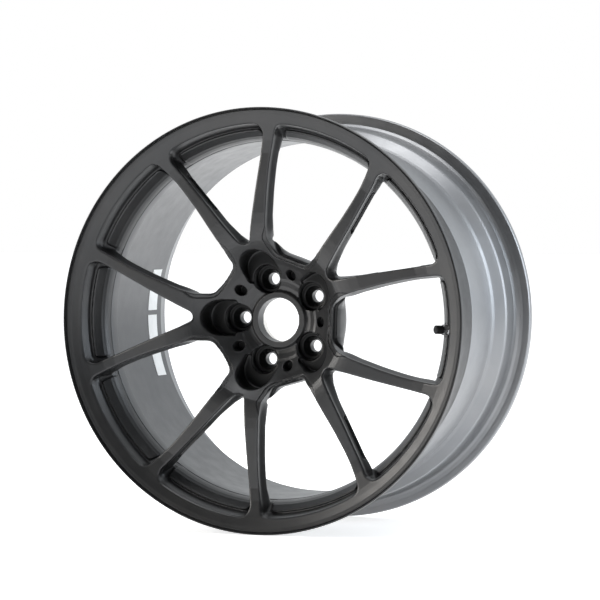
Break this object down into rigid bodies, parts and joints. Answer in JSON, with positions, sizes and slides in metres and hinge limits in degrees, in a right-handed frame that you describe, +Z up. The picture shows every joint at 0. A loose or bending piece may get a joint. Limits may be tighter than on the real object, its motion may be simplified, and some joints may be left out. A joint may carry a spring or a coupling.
{
  "type": "wheel rim",
  "caption": "Forged racing wheel rim with paired slim spokes, a dished hub with lug wells, a deep barrel, a hub ring and a clamp-in valve.",
  "frame": {"origin": "centre of the wheel: on the spin axis, midway between the outer edges of the two flanges", "axes": "+Y along the spin axis towards the car, so the street face looks along -Y; +Z up; the valve lies 2.16 degrees below +X in the street view"},
  "size_m": [0.497, 0.2736, 0.497],
  "materials": {
    "satin_gunmetal": "satin painted",
    "satin_grey": "satin painted",
    "bare_aluminium": "machined",
    "label_paper": "matte adhesive label",
    "black_anodised": "anodised",
    "black_rubber": "moulded",
    "steel": "zinc plated",
    "brass": "turned"
  },
  "bodies": {
    "wheel": {"forged_disc": "satin_gunmetal", "rim_barrel": "satin_grey", "hub_ring": "bare_aluminium", "long_label": "label_paper", "short_label": "label_paper", "valve_stem": "black_anodised", "valve_grommet": "black_rubber", "valve_washer": "steel", "valve_nut": "steel", "valve_core": "brass", "core_spring": "steel"},
    "core_pin": {"core_pin": "brass", "core_seal": "black_rubber"},
    "cap_seal": {"cap_seal": "black_rubber"},
    "cap": {"valve_cap": "black_anodised"}
  },
  "joints": [
    {"name": "pin_press", "type": "slide", "parent": "wheel", "child": "core_pin", "axis": [0.7308, 0.682, -0.0276], "range_m": [0, 0.0012], "stiffness_N_per_m": 800, "springref_m": -0.001, "deforming": ["core_spring"]},
    {"name": "cap_lift", "type": "slide", "parent": "wheel", "child": "cap_seal", "axis": [-0.7308, -0.682, 0.0276], "range_m": [0, 0.005]},
    {"name": "cap_turn", "type": "hinge", "parent": "cap_seal", "child": "cap", "pos_m": [0.21289, -0.11057, -0.00803], "axis": [-0.7308, -0.682, 0.0276], "range_deg": [0, 2267.5]}
  ],
  "couplings": [
    {"joint": "cap_turn", "follows": "cap_lift", "rad_per_m": 7913.3}
  ]
}
